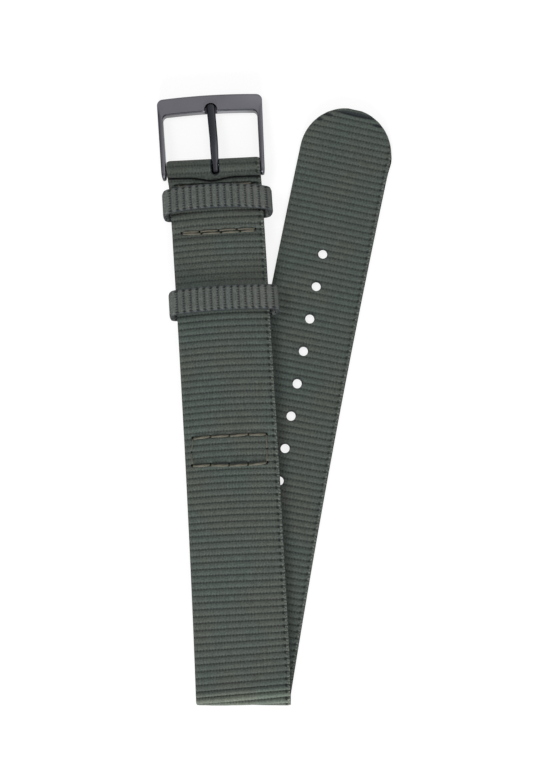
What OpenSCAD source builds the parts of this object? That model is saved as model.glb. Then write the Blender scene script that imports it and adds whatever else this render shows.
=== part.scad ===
// Ribbed fabric watch strap, folded once, with a pin buckle and two webbing keepers.
// The strap is one length of webbing: the front leg lies over the tail, and past the
// buckle it turns back under itself and is sewn down.

/* [Strap webbing] */
// Width of the strap, cut for 20 mm lugs
strap_w = 20; // [16:1:24]
// Thickness of the strap over its ribs
strap_t = 1.2; // [1:0.05:1.5]
// Distance from one cross rib to the next
rib_pitch = 1.4; // [1:0.1:2]
// Depth of the groove between two ribs
rib_depth = 0.18; // [0.05:0.01:0.25]

/* [Lay of the strap] */
// From the fold line to the buckle bar, along the front leg
front_len = 114.7; // [95:1:140]
// From the fold line to the tip, along the tail
tail_len = 130.3; // [100:1:160]
// Lean of the front leg to the left
front_lean = 3; // [0:0.5:12]
// Lean of the tail to the right
tail_lean = 10.5; // [0:0.5:25]
// Drop of the fold line to the right
fold_drop = 0.75; // [0:0.25:3]
// Clear height inside the fold
fold_gap = 1.4; // [0.8:0.1:2.5]
// Sideways step of the strap as it winds round the fold
fold_step = 0.5; // [0:0.1:1]

/* [Tail] */
// Number of buckle holes
hole_count = 10; // [5:1:12]
// Radius of a buckle hole
hole_r = 1; // [0.95:0.05:1.3]
// Distance from one hole to the next
hole_pitch = 7.2; // [5:0.1:9]
// From the tip to the first hole
hole_start = 32.5; // [20:0.5:45]
// How far the row of holes is punched off the middle, to the left
hole_off = 0.35; // [0:0.05:0.6]

/* [Loop round the bar] */
// Inner radius of the webbing loop
loop_r = 1.2; // [1:0.05:1.5]
// Height of the loop over the surface that the strap lies on
loop_lift = 0.06; // [0:0.02:0.5]
// Width of the slot for the tang
slot_w = 2.4; // [2.2:0.1:3]
// From the bar's axis to the end of the slot
slot_back = 1.45; // [1.45:0.05:2]

/* [Sewing] */
// From the bar to the row behind the loop
seam_loop_at = 3.5; // [3.3:0.1:4]
// From the bar to the row behind the fixed keeper
seam_keeper_at = 13.8; // [13.4:0.1:16]
// From the bar to the first row of the box
box_near = 57.8; // [45:0.5:70]
// From the bar to the last row of the box
box_far = 64; // [62:0.5:78]
// From the last row of the box to the cut end of the return layer
return_end = 2; // [1.5:0.1:4]
// Length of the sewn rows across the strap
seam_w = 15.8; // [12:0.1:15.8]
// Stitches in each row across the strap
stitches = 4; // [3:1:6]
// Radius of the sewing thread
thread_r = 0.2; // [0.12:0.01:0.22]
// Distance between the two layers where they are sewn
seam_gap = 0.1; // [0.06:0.02:0.2]
// Length over which the layers part beside a sewn row
ease_len = 1.75; // [1.6:0.05:1.8]

/* [Keepers] */
// Thickness of the keeper webbing over its ribs
keeper_t = 0.8; // [0.6:0.05:1]
// Width of the keeper webbing, along the strap
keeper_len = 5.4; // [4:0.1:5.9]
// Room inside a keeper beside the strap, each side
keeper_side = 0.85; // [0.7:0.05:1.5]
// Room over the front leg for the tail to pass
keeper_room = 1.5; // [1.3:0.1:2.5]
// Outer corner radius of a keeper
keeper_corner = 1.5; // [1.2:0.1:1.6]
// Play of a keeper between the two layers, each side
keeper_play = 0.1; // [0.06:0.02:0.2]
// Distance from one keeper rib to the next
keeper_rib = 1.5; // [1:0.1:2]
// From the bar to the middle of the fixed keeper
fixed_at = 8.4; // [8.2:0.05:9.1]
// From the bar to the middle of the sliding keeper, as it lies
sliding_at = 29.15; // [20:0.5:50]

/* [Buckle frame] */
// Play between the strap and each arm
arm_play = 0.2; // [0.2:0.05:0.3]
// Width of each arm, across the strap
arm_w = 1.2; // [1:0.1:1.8]
// From the bar's axis to the outer edge of the crossbar
frame_reach = 16.4; // [15.5:0.1:19]
// Width of the crossbar, along the strap
crossbar_w = 4.1; // [3.5:0.1:4.6]
// Thickness of the crossbar
crossbar_t = 2.3; // [2:0.1:2.8]
// Radius of the frame's curved outer edge
frame_bow_r = 145; // [100:5:400]
// Radius of the arms' ends round the bar
arm_r = 1.75; // [1.6:0.05:2]
// Outer corner radius of the frame
frame_corner = 2; // [1:0.1:2.6]
// Corner radius of the window
window_corner = 1.3; // [0.6:0.1:2]
// Width of the bevel along the crossbar's inner edge
bevel = 0.55; // [0.3:0.05:0.8]

/* [Tang] */
// Width of the tang
tang_w = 1.8; // [1.6:0.1:1.9]
// Thickness of the tang
tang_t = 1.1; // [0.9:0.05:1.3]
// From the bar's axis to the tang's tip
tang_len = 14.25; // [13.6:0.05:14.4]
// Outer radius of the tang's eye
eye_r = 1.4; // [1.3:0.05:1.4]
// Radius of the notch in the crossbar that the tip lies in
notch_r = 1.3; // [1.1:0.05:1.5]

/* [Spring bar] */
// Outer radius of the tube
tube_r = 0.75; // [0.7:0.01:0.78]
// Bore radius of the tube
tube_bore_r = 0.52; // [0.5:0.01:0.54]
// Radius of the plunger's tip
tip_pin_r = 0.36; // [0.3:0.01:0.38]
// Length of the tip in the arm
tip_in_arm = 0.65; // [0.5:0.05:0.75]
// Length of the plunger's head inside the tube
plunger_len = 2.6; // [2:0.1:4]
// Radius of the spring's wire
wire_r = 0.09; // [0.06:0.01:0.1]
// Turns of the spring
spring_turns = 14; // [8:1:20]

/* [Hidden] */
$fn = 48;

webbing_colour = [0.30, 0.32, 0.30];
keeper_colour = [0.34, 0.36, 0.34];
thread_colour = [0.42, 0.38, 0.30];
frame_colour = [0.42, 0.42, 0.45];
tang_colour = [0.25, 0.25, 0.28];
steel_colour = [0.62, 0.62, 0.64];

eps = 0.01;
running_play = 0.05;
layer_clear = 0.2;
half_t = strap_t / 2;
tip_r = strap_w / 2;
frame_in_w = strap_w + 2 * arm_play;
frame_w = frame_in_w + 2 * arm_w;
keeper_in_w = strap_w + 2 * keeper_side;

// Heights: the tail lies on the surface, and the front leg clears it with its return layer.
fold_mid_r = fold_gap / 2 + half_t;
fold_axis_z = strap_t + fold_gap / 2;
fold_top_mid = fold_axis_z + fold_mid_r;
keeper_gap = keeper_t + 2 * keeper_play;
slide_mid = strap_t + layer_clear + strap_t + keeper_gap + half_t;
loop_mid_r = loop_r + half_t;
bar_z = loop_mid_r + half_t + loop_lift;

// The front leg dips at each sewn row by this share of the keeper gap.
dip_share = 0.4;
bar_mid = bar_z + loop_mid_r - dip_share * (2 * loop_r - keeper_gap);
ramp = (slide_mid - bar_mid) / seam_keeper_at;
seam_flat = 0.2;
rise_start = 4;
return_len = box_far + return_end;

function smooth(t) = let (c = min(1, max(0, t))) c * c * (3 - 2 * c);
function parted(q, at) = smooth((abs(q - at) - seam_flat) / ease_len);

// Distance between the layers at v, the distance from the bar back along the front leg.
function layer_gap(v) =
  v < seam_loop_at - seam_flat
    ? seam_gap + (2 * loop_r - seam_gap) * smooth(1 - v / (seam_loop_at - seam_flat))
  : v > box_near ? seam_gap
  : seam_gap + (keeper_gap - seam_gap)
    * min(parted(v, seam_loop_at), parted(v, seam_keeper_at), parted(v, box_near));

// Height of the outer layer's middle at v.
box_mid = slide_mid - dip_share * (keeper_gap - seam_gap);
function level(v) = v < seam_keeper_at ? bar_mid + ramp * v : slide_mid;
function outer_mid(v) =
  v > box_far
    ? fold_top_mid + (box_mid - fold_top_mid)
      * smooth((front_len - v - rise_start) / (front_len - box_far - rise_start))
    : level(v) - dip_share * (keeper_gap - layer_gap(v));
function inner_mid(v) = outer_mid(v) - strap_t - layer_gap(v);

// Each rib has three points: the groove, then both shoulders of its crest.
rib_steps = [0, 0.22, 0.78];
function rib_half(k) = half_t - (k % 3 == 0 ? rib_depth : 0);

// Outline of a ribbon that follows a line of [along, up] points.
function side_of(line, i) =
  let (a = line[max(0, i - 1)], b = line[min(len(line) - 1, i + 1)], d = b - a)
  [-d[1], d[0]] / norm(d);
function ribbon(line) = concat(
  [for (i = [0 : len(line) - 1]) line[i] + side_of(line, i) * rib_half(i)],
  [for (i = [len(line) - 1 : -1 : 0]) line[i] - side_of(line, i) * rib_half(i)]
);

// Places: the fold line's middle is the centre of the lay, before the shift to the origin.
fold_half = fold_step / 2;
bar_x = -fold_half - front_len * sin(front_lean);
bar_y = front_len * cos(front_lean);
tip_x = fold_half + (tail_len - tip_r) * sin(tail_lean);
tip_y = (tail_len - tip_r) * cos(tail_lean);
frame_half = frame_w / 2;
bow_drop = frame_bow_r - sqrt(pow(frame_bow_r, 2) - pow(frame_half - frame_corner, 2));
x_left = bar_x - frame_half * cos(front_lean)
  - (frame_reach - frame_corner) * sin(front_lean);
x_right = max(tip_x + strap_w / 2, bar_x + frame_half * cos(front_lean));
y_low = -fold_axis_z - strap_w / 2 * sin(fold_drop);
y_high = max(tip_y + tip_r, bar_y + (frame_reach - bow_drop / 2) * cos(front_lean)
  + frame_half / 2 * sin(front_lean));
origin_x = (x_left + x_right) / 2;
origin_y = (y_low + y_high) / 2;

module lay() translate([-origin_x, -origin_y, 0]) children();
module on_fold() lay() rotate([0, 0, -fold_drop]) children();
module on_tail() lay() translate([fold_half, 0, 0]) rotate([0, 0, -tail_lean]) children();
module on_front() lay() translate([-fold_half, 0, 0]) rotate([0, 0, front_lean]) children();
// The bar's own frame: X along the bar, Y out of the loop, Z up.
module on_bar() on_front() translate([0, front_len, bar_z]) children();

// Stands an [along, up] outline across the strap.
module across(w) rotate([90, 0, 90]) translate([0, 0, -w / 2]) linear_extrude(w) children();

// Everything behind the fold line, which the legs are cut along.
module behind_fold() on_fold() translate([-2 * strap_w, -4 * strap_w, -strap_w])
  cube([4 * strap_w, 4 * strap_w, 3 * strap_w]);

module band_tail() {
  ribs = ceil((tail_len + strap_w / 2) / rib_pitch);
  line = [for (i = [0 : ribs], f = rib_steps) [(i + f) * rib_pitch - strap_w / 2, half_t]];
  body_len = tail_len - tip_r;
  color(webbing_colour) difference() {
    on_tail() difference() {
      intersection() {
        across(strap_w) polygon(ribbon(line));
        translate([0, 0, -eps]) linear_extrude(strap_t + 2 * eps) {
          translate([-strap_w / 2, -strap_w / 2]) square([strap_w, body_len + strap_w / 2]);
          translate([0, body_len]) intersection() {
            circle(tip_r, $fn = 96);
            translate([-strap_w / 2, -eps]) square([strap_w, strap_w]);
          }
        }
      }
      for (i = [0 : hole_count - 1])
        translate([-hole_off, tail_len - hole_start - i * hole_pitch, -strap_t])
          cylinder(r = hole_r, h = 3 * strap_t);
    }
    behind_fold();
  }
}

// The half turn at the fold, wound sideways by the fold step.
module band_bend() {
  turns = ceil(PI * fold_mid_r / rib_pitch) * 3;
  half_w = strap_w / 2 / cos((tail_lean + front_lean) / 2);
  function ring(i) =
    let (a = 180 * i / turns, x = fold_half * cos(a), h = rib_half(i),
      o = fold_mid_r + h, n = fold_mid_r - h)
    [for (s = [-1, 1]) [x + s * half_w, -o * sin(a), fold_axis_z - o * cos(a)],
     for (s = [1, -1]) [x + s * half_w, -n * sin(a), fold_axis_z - n * cos(a)]];
  points = [for (i = [0 : turns]) each ring(i)];
  last = 4 * turns;
  faces = concat(
    [[0, 1, 2, 3], [last + 3, last + 2, last + 1, last]],
    [for (i = [0 : turns - 1], k = [0 : 3])
      [4 * i + k, 4 * i + 4 + k, 4 * i + 4 + (k + 1) % 4, 4 * i + (k + 1) % 4]]);
  color(webbing_colour) on_fold() polyhedron(points, faces);
}

// Stations along the front leg, round the loop and back along the return layer.
front_ribs = ceil((front_len + strap_w / 2) / rib_pitch);
front_step = (front_len + strap_w / 2) / front_ribs;
loop_ribs = ceil(PI * loop_mid_r / rib_pitch);
return_ribs = ceil(return_len / rib_pitch);
return_step = return_len / return_ribs;
front_line = concat(
  [for (i = [0 : front_ribs - 1], f = rib_steps)
    let (v = (front_ribs - i - f) * front_step) [front_len - v, outer_mid(v)]],
  [for (i = [0 : loop_ribs - 1], f = rib_steps)
    let (a = 90 - 180 * (i + f) / loop_ribs)
    [front_len + loop_mid_r * cos(a), bar_z + loop_mid_r * sin(a)]],
  [for (i = [0 : return_ribs - 1], f = rib_steps)
    let (v = (i + f) * return_step) [front_len - v, inner_mid(v)]]
);

// Places of the needle holes, as [across, along the front leg].
function row(v) = [for (i = [0 : stitches]) [(i / stitches - 0.5) * seam_w, front_len - v]];
box_path = concat(
  row(box_near),
  [[seam_w / 2, front_len - (box_near + box_far) / 2]],
  [for (i = [stitches : -1 : 0]) row(box_far)[i]],
  [[-seam_w / 2, front_len - (box_near + box_far) / 2]]
);
needle_r = 2 * thread_r + 2 * running_play;

module band_front() {
  color(webbing_colour) difference() {
    on_front() difference() {
      across(strap_w) polygon(ribbon(front_line));
      translate([-slot_w / 2, front_len - slot_back, -eps])
        cube([slot_w, 3 * loop_mid_r + slot_back, bar_z + 2 * loop_mid_r]);
      for (p = concat(row(seam_loop_at), row(seam_keeper_at), box_path))
        translate([p[0], p[1], 0]) cylinder(r = needle_r, h = 3 * slide_mid, $fn = 24);
    }
    behind_fold();
  }
}

// A round thread or wire along a line of points, with mitred corners.
function unit(a) = a / norm(a);
function onto(ring, d, p, n) = [for (c = ring) c + d * ((p - c) * n) / (d * n)];
function first_ring(p, d, r, sides) =
  let (a = unit(cross(d, abs(d[2]) < 0.9 ? [0, 0, 1] : [1, 0, 0])), b = cross(d, a))
  [for (k = [0 : sides - 1]) p + r * (cos(360 * k / sides) * a + sin(360 * k / sides) * b)];
module thread(path, r, sides = 6) {
  n = len(path);
  dirs = [for (i = [0 : n - 2]) unit(path[i + 1] - path[i])];
  cuts = [for (i = [0 : n - 1])
    i == 0 ? dirs[0] : i == n - 1 ? dirs[n - 2] : unit(dirs[i - 1] + dirs[i])];
  rings = [for (i = 0, c = first_ring(path[0], dirs[0], r, sides); i < n;
    i = i + 1, c = i < n ? onto(c, dirs[i - 1], path[i], cuts[i]) : c) c];
  faces = concat(
    [[for (k = [0 : sides - 1]) k], [for (k = [sides - 1 : -1 : 0]) (n - 1) * sides + k]],
    [for (i = [0 : n - 2], k = [0 : sides - 1])
      [i * sides + k, (i + 1) * sides + k,
       (i + 1) * sides + (k + 1) % sides, i * sides + (k + 1) % sides]]);
  polyhedron([for (c = rings) each c], faces);
}

// A row of lock stitches: the needle thread lies on top and the bobbin thread below,
// and they meet between the layers in each needle hole.
module stitch_row(holes) {
  leg = thread_r + running_play / 2;
  meet = thread_r + running_play / 2;
  n = len(holes);
  function level_at(p, dir) =
    let (v = front_len - p[1])
    dir > 0 ? outer_mid(v) + half_t + thread_r + running_play
      : inner_mid(v) - half_t - thread_r - running_play;
  function middle(p) = outer_mid(front_len - p[1]) - half_t - seam_gap / 2;
  function toward(i, j) = i < 0 || j < 0 || i > n - 1 || j > n - 1
    ? [0, 0] : unit(holes[j] - holes[i]) * leg;
  function at(i, j, z) = let (p = holes[i] + toward(i, j)) [p[0], p[1], z];
  for (dir = [1, -1]) thread([for (i = [0 : n - 1]) each concat(
    i == 0 ? [at(0, 1, middle(holes[0]) + dir * meet)]
      : [at(i, i - 1, level_at(holes[i], dir)), at(i, i - 1, middle(holes[i]) + dir * meet)],
    i == n - 1 || i == 0 ? []
      : [at(i, i + 1, middle(holes[i]) + dir * meet)],
    i == n - 1 ? [] : [at(i, i + 1, level_at(holes[i], dir))]
  )], thread_r);
}

module loop_seam() color(thread_colour) on_front() stitch_row(row(seam_loop_at));
module keeper_seam() color(thread_colour) on_front() stitch_row(row(seam_keeper_at));
module box_seam() color(thread_colour) on_front() stitch_row(concat(box_path, [box_path[0]]));

// Keeper: a strip bent round the outer layer, its ends butted and sewn underneath.
keeper_in_h = keeper_play + strap_t + keeper_room;
keeper_out_w = keeper_in_w + 2 * keeper_t;
keeper_out_h = keeper_in_h + 2 * keeper_t;
keeper_low = -half_t - keeper_play - keeper_t;
keeper_groove = 0.15;
butt_gap = 0.1;
staple_w = 2.4;
staple_t = 0.24;
staples = 3;

function corner(c, r, from, n) = [for (i = [0 : n]) let (a = from - 90 * i / n)
  c + r * [cos(a), sin(a)]];
function round_box(w, h, r) = concat(
  corner([-w / 2 + r, h / 2 - r], r, 180, 6), corner([w / 2 - r, h / 2 - r], r, 90, 6),
  corner([w / 2 - r, -h / 2 + r], r, 0, 6), corner([-w / 2 + r, -h / 2 + r], r, -90, 6));
module staple_places() for (i = [0 : staples - 1])
  translate([0, 0, ((i + 0.5) / staples - 0.5) * keeper_len]) children();

module keeper_ring() {
  mid = keeper_low + keeper_out_h / 2;
  rib_count = floor((keeper_out_w - 2 * keeper_corner) / keeper_rib);
  rotate([90, 0, 0]) difference() {
    translate([0, mid, -keeper_len / 2]) linear_extrude(keeper_len) difference() {
      polygon(round_box(keeper_out_w, keeper_out_h, keeper_corner));
      polygon(round_box(keeper_in_w, keeper_in_h, keeper_corner - keeper_t));
      for (i = [0 : rib_count]) translate([(i - rib_count / 2) * keeper_rib, 0])
        translate([0, keeper_out_h / 2]) rotate(45)
          square(keeper_groove * sqrt(2), center = true);
    }
    translate([-butt_gap / 2, keeper_low - eps, -keeper_len])
      cube([butt_gap, keeper_t + 2 * eps, 2 * keeper_len]);
    staple_places() translate([0, keeper_low + keeper_t / 2, 0]) difference() {
      cube([staple_w + 2 * running_play, 2 * keeper_t, staple_t + 2 * running_play],
        center = true);
      cube([staple_w - 2 * staple_t - 2 * running_play,
        keeper_t - 2 * staple_t - 2 * running_play, staple_t + 4 * running_play],
        center = true);
    }
  }
}
module keeper_stitches() rotate([90, 0, 0]) staple_places()
  translate([0, keeper_low + keeper_t / 2, 0]) difference() {
    cube([staple_w, keeper_t, staple_t], center = true);
    cube([staple_w - 2 * staple_t, keeper_t - 2 * staple_t, 2 * staple_t], center = true);
  }

module at_fixed_keeper() on_front() translate([0, front_len - fixed_at, level(fixed_at)])
  rotate([-atan(ramp), 0, 0]) children();
module at_sliding_keeper() on_front()
  translate([0, front_len - sliding_at, level(sliding_at)]) children();

module fixed_keeper() color(keeper_colour) at_fixed_keeper() keeper_ring();
module fixed_keeper_seam() color(thread_colour) at_fixed_keeper() keeper_stitches();
module sliding_keeper() color(keeper_colour) at_sliding_keeper() keeper_ring();
module sliding_keeper_seam() color(thread_colour) at_sliding_keeper() keeper_stitches();

// Buckle: the frame hangs from the bar and its crossbar lies on the surface.
frame_hang = asin(bar_z / norm([frame_reach, crossbar_t / 2]))
  - atan(crossbar_t / 2 / frame_reach);
window_reach = frame_reach - crossbar_w;
window_bow_r = frame_bow_r - crossbar_w;
side_end = [
  [window_reach, crossbar_t / 2], [frame_reach + eps, crossbar_t / 2],
  [frame_reach + eps, -crossbar_t / 2], [window_reach, -crossbar_t / 2]
];
module hanging() on_bar() rotate([-frame_hang, 0, 0]) children();

// Outline of an eye of radius r at the bar, which runs out to the far end's points.
// The far end is listed from its top to its bottom, and the sides leave along tangents.
function touch(r, p, side) = atan2(p[1], p[0]) + side * acos(r / norm(p));
function eye_outline(r, far, low_angle, n = 24) =
  let (from = touch(r, far[0], 1))
  concat([for (i = [n : -1 : 0]) let (a = from + (360 + low_angle - from) * i / n)
    r * [cos(a), sin(a)]], far);

// A plan with arms that open downwards and a bowed, round-cornered top.
module bowed_plan(w, reach, bow_r, r) {
  drop = bow_r - sqrt(bow_r * bow_r - pow(w / 2 - r, 2));
  intersection() {
    translate([0, reach - bow_r]) circle(bow_r, $fn = 360);
    union() {
      translate([-w / 2, -2 * arm_r]) square([w, reach - drop - r + 2 * arm_r]);
      translate([-w / 2 + r, 0]) square([w - 2 * r, reach]);
      for (s = [-1, 1]) translate([s * (w / 2 - r), reach - drop - r]) circle(r);
    }
  }
}

module buckle_frame() {
  color(frame_colour) hanging() difference() {
    intersection() {
      translate([0, 0, -2 * arm_r]) linear_extrude(4 * arm_r) difference() {
        bowed_plan(frame_w, frame_reach, frame_bow_r, frame_corner);
        bowed_plan(frame_in_w, window_reach, window_bow_r, window_corner);
      }
      across(frame_w + 2 * eps) polygon(eye_outline(arm_r, side_end,
        touch(arm_r, side_end[3], -1)));
    }
    translate([0, window_reach, crossbar_t / 2]) rotate([45, 0, 0])
      cube([frame_in_w - window_corner, bevel * sqrt(2), bevel * sqrt(2)], center = true);
    translate([0, 0, crossbar_t / 2 - tang_t - running_play])
      linear_extrude(crossbar_t) {
        translate([0, tang_len - tang_w / 2]) circle(notch_r);
        translate([-notch_r, 0]) square([2 * notch_r, tang_len - tang_w / 2]);
      }
    for (s = [-1, 1]) translate([s * (frame_in_w / 2 - eps), 0, 0]) rotate([0, s * 90, 0])
      cylinder(r = tip_pin_r + running_play, h = tip_in_arm + 2 * running_play + eps);
  }
}

// Tang: an eye rolled round the tube, and a shank that lies in the crossbar's notch.
module tang() {
  tip_top = crossbar_t / 2;
  color(tang_colour) hanging() intersection() {
    difference() {
      across(tang_w) polygon(eye_outline(eye_r,
        [[tang_len, tip_top], [tang_len, tip_top - tang_t]], asin((tip_top - tang_t) / eye_r)));
      rotate([0, 90, 0]) cylinder(r = tube_r + running_play, h = 2 * tang_w, center = true);
    }
    translate([0, 0, -2 * eye_r]) linear_extrude(4 * eye_r) {
      translate([0, tang_len - tang_w / 2]) circle(tang_w / 2);
      translate([-tang_w / 2, -2 * eye_r]) square([tang_w, tang_len - tang_w / 2 + 2 * eye_r]);
    }
  }
}

// Spring bar: a tube with necked ends, two plungers and the spring between them.
bar_play = 0.2;
tube_len = frame_in_w - 2 * bar_play;
neck_len = 0.4;
neck_r = tip_pin_r + running_play;
plunger_r = tube_bore_r - running_play;
spring_len = tube_len - 2 * neck_len - 2 * plunger_len - 2 * running_play;
coil_r = plunger_r - wire_r;

module bar_tube() color(steel_colour) on_bar() rotate([0, 90, 0]) difference() {
  cylinder(r = tube_r, h = tube_len, center = true);
  cylinder(r = tube_bore_r, h = tube_len - 2 * neck_len, center = true);
  cylinder(r = neck_r, h = tube_len + 2 * eps, center = true);
}

// One plunger, drawn pointing along +X from the middle of the bar.
module plunger() rotate([0, 90, 0]) {
  head_at = tube_len / 2 - neck_len - plunger_len;
  translate([0, 0, head_at]) cylinder(r = plunger_r, h = plunger_len);
  translate([0, 0, head_at])
    cylinder(r = tip_pin_r, h = frame_in_w / 2 + tip_in_arm - head_at);
}
module bar_plunger_right() color(steel_colour) on_bar() plunger();
module bar_plunger_left() color(steel_colour) on_bar() rotate([0, 0, 180]) plunger();

module bar_spring() {
  steps = spring_turns * 8;
  pitch = (spring_len - 2 * wire_r) / steps;
  coil = [for (i = [0 : steps])
    [(i - steps / 2) * pitch, coil_r * cos(45 * i), coil_r * sin(45 * i)]];
  color(steel_colour) on_bar() thread(coil, wire_r);
}

band_tail();
band_bend();
band_front();
fixed_keeper();
fixed_keeper_seam();
sliding_keeper();
sliding_keeper_seam();
loop_seam();
keeper_seam();
box_seam();
buckle_frame();
tang();
bar_tube();
bar_plunger_left();
bar_plunger_right();
bar_spring();
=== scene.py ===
import math

import bmesh
import bpy
import numpy as np
from mathutils import Matrix, Vector


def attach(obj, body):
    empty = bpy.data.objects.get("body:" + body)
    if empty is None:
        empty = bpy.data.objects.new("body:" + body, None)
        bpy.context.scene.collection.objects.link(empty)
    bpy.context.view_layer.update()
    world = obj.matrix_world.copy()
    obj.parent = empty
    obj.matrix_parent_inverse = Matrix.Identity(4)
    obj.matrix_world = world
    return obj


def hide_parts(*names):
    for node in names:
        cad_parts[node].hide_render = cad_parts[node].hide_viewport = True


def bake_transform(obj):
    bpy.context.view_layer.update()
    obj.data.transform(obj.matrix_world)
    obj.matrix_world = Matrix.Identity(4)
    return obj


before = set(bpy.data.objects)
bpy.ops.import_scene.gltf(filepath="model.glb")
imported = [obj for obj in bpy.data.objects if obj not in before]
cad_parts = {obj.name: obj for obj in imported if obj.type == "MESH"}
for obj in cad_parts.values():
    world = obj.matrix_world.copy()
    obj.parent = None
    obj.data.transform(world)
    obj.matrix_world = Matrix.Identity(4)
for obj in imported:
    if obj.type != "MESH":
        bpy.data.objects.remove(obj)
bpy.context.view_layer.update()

# The studio: a pale floor under the strap, a camera straight above it as in the photograph, one
# broad lamp low in front of the fold, two weak ones above and an even, pale room around.
MM = 0.001
scene = bpy.context.scene
scene.view_settings.view_transform = "Standard"


def wired(tree, kind, settings=None, **inputs):
    """Adds a node. Each input is a plain value or the output of another node."""
    made = tree.nodes.new(kind)
    for name, value in (settings or {}).items():
        setattr(made, name, value)
    for name, value in inputs.items():
        plug(tree, made.inputs[name.replace("_", " ")], value)
    return made


def plug(tree, socket, value):
    """Gives a socket a plain value, or links another node's output to it."""
    if isinstance(value, bpy.types.NodeSocket):
        tree.links.new(value, socket)
    else:
        socket.default_value = value


def calc(tree, operation, *terms, clamp=False):
    """The output of a Math node."""
    made = tree.nodes.new("ShaderNodeMath")
    made.operation = operation
    made.use_clamp = clamp
    for socket, term in zip(made.inputs, terms):
        plug(tree, socket, term)
    return made.outputs[0]


def new_material(name):
    """An empty material and its node tree."""
    made = bpy.data.materials.new(name)
    made.use_nodes = True
    made.node_tree.nodes.clear()
    return made, made.node_tree


def new_piece(name, bm):
    """Makes an object of a bmesh and frees the bmesh."""
    made = bpy.data.objects.new(name, bpy.data.meshes.new(name))
    bm.to_mesh(made.data)
    bm.free()
    scene.collection.objects.link(made)
    return made


def seen_directly(tree):
    """1 for what the camera sees, straight or in metal, and 0 for light that bounces."""
    path = tree.nodes.new("ShaderNodeLightPath").outputs
    either = calc(tree, "MAXIMUM", path["Is Camera Ray"], path["Is Glossy Ray"])
    return calc(tree, "MAXIMUM", either, path["Is Transmission Ray"])


camera = bpy.data.objects.new("camera", bpy.data.cameras.new("camera"))
camera.location = (-1.81 * MM, 2.63 * MM, 270 * MM)
camera.data.sensor_width = 36
camera.data.lens = 57.1
camera.data.clip_start = 0.01
scene.collection.objects.link(camera)
scene.camera = camera

bm = bmesh.new()
bmesh.ops.create_grid(bm, x_segments=1, y_segments=1, size=1.5,
                      matrix=Matrix.Translation((0, 0, -0.05 * MM)))
floor = new_piece("floor", bm)

# Paper that looks nearly white to the camera at any light and still keeps the strap's shadow.
paper, tree = new_material("paper")
shown = wired(tree, "ShaderNodeAddShader")
tree.links.new(wired(tree, "ShaderNodeBsdfDiffuse", Color=(0.26, 0.26, 0.26, 1)).outputs[0],
               shown.inputs[0])
tree.links.new(wired(tree, "ShaderNodeEmission", Strength=0.81).outputs[0], shown.inputs[1])
choice = wired(tree, "ShaderNodeMixShader", Fac=seen_directly(tree))
tree.links.new(wired(tree, "ShaderNodeBsdfDiffuse", Color=(0.8, 0.8, 0.8, 1)).outputs[0],
               choice.inputs[1])
tree.links.new(shown.outputs[0], choice.inputs[2])
wired(tree, "ShaderNodeOutputMaterial", Surface=choice.outputs[0])
floor.data.materials.append(paper)

room = bpy.data.worlds.new("room")
room.use_nodes = True
tree = room.node_tree
tree.nodes.clear()
strength = calc(tree, "ADD", calc(tree, "MULTIPLY", seen_directly(tree), 0.6), 0.4)
sky = wired(tree, "ShaderNodeBackground", Color=(1, 1, 1, 1), Strength=strength)
wired(tree, "ShaderNodeOutputWorld", Surface=sky.outputs[0])
scene.world = room


def lamp(name, place, size, power):
    """A round soft lamp that points at the strap."""
    made = bpy.data.objects.new(name, bpy.data.lights.new(name, "AREA"))
    made.data.shape = "DISK"
    made.data.size = size
    made.data.energy = power
    made.location = place
    made.rotation_mode = "QUATERNION"
    made.rotation_quaternion = Vector(place).to_track_quat("Z", "Y")
    scene.collection.objects.link(made)


lamp("front_lamp", (-0.05, -1.10, 0.357), size=0.41, power=11.9)
lamp("side_lamp", (-0.45, 0.15, 0.70), size=0.35, power=1.4)
lamp("top_lamp", (0.25, 0.15, 0.85), size=0.5, power=1.0)

# The webbing: one long ribbed strip, woven flat with a hot-cut round tip, then punched,
# folded, led round the buckle's bar and turned back under itself. Lengths are in millimetres.
STRAP_W, HALF_T, RIB, RIB_DEPTH = 20.0, 0.6, 1.4, 0.14
TAIL, FRONT, RETURN = 130.3, 114.7, 66.0
FOLD_R, FOLD_Z, LOOP_R, BAR_Z = 1.3, 1.9, 1.8, 2.46

# Places along the strap, from the tip; then those of the sewn rows, back from the bar, and the
# distances and heights of the front leg's two layers.
BEND_AT = TAIL
FRONT_AT = BEND_AT + math.pi * FOLD_R
LOOP_AT = FRONT_AT + FRONT
RETURN_AT = LOOP_AT + math.pi * LOOP_R
STRAP_END = RETURN_AT + RETURN
SPLIT_AT = LOOP_AT - 3.5
ROW_LOOP, ROW_KEEPER, BOX_NEAR, BOX_FAR = 3.5, 13.8, 57.8, 64.0
KEEPER_GAP, SEAM_GAP, DIP = 1.0, 0.1, 0.4
PRESSED, EASE = 0.2, 1.75
BAR_MID, SLIDE_MID = 3.70, 4.20

# Where each leg starts at the fold, its lean in degrees and its sideways bow, and how far the
# front leg is moved aside.
TAIL_FOOT, TAIL_LEAN, TAIL_BOW = (-6.641, -64.518), 10.7, -0.94
FRONT_FOOT, FRONT_LEAN, FRONT_BOW, FRONT_ASIDE = (-7.141, -64.518), -3, 0.43, 0.06


def smooth(t):
    """An even step: 0 up to t = 0, and 1 from t = 1."""
    t = np.clip(t, 0, 1)
    return t * t * (3 - 2 * t)


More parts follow.
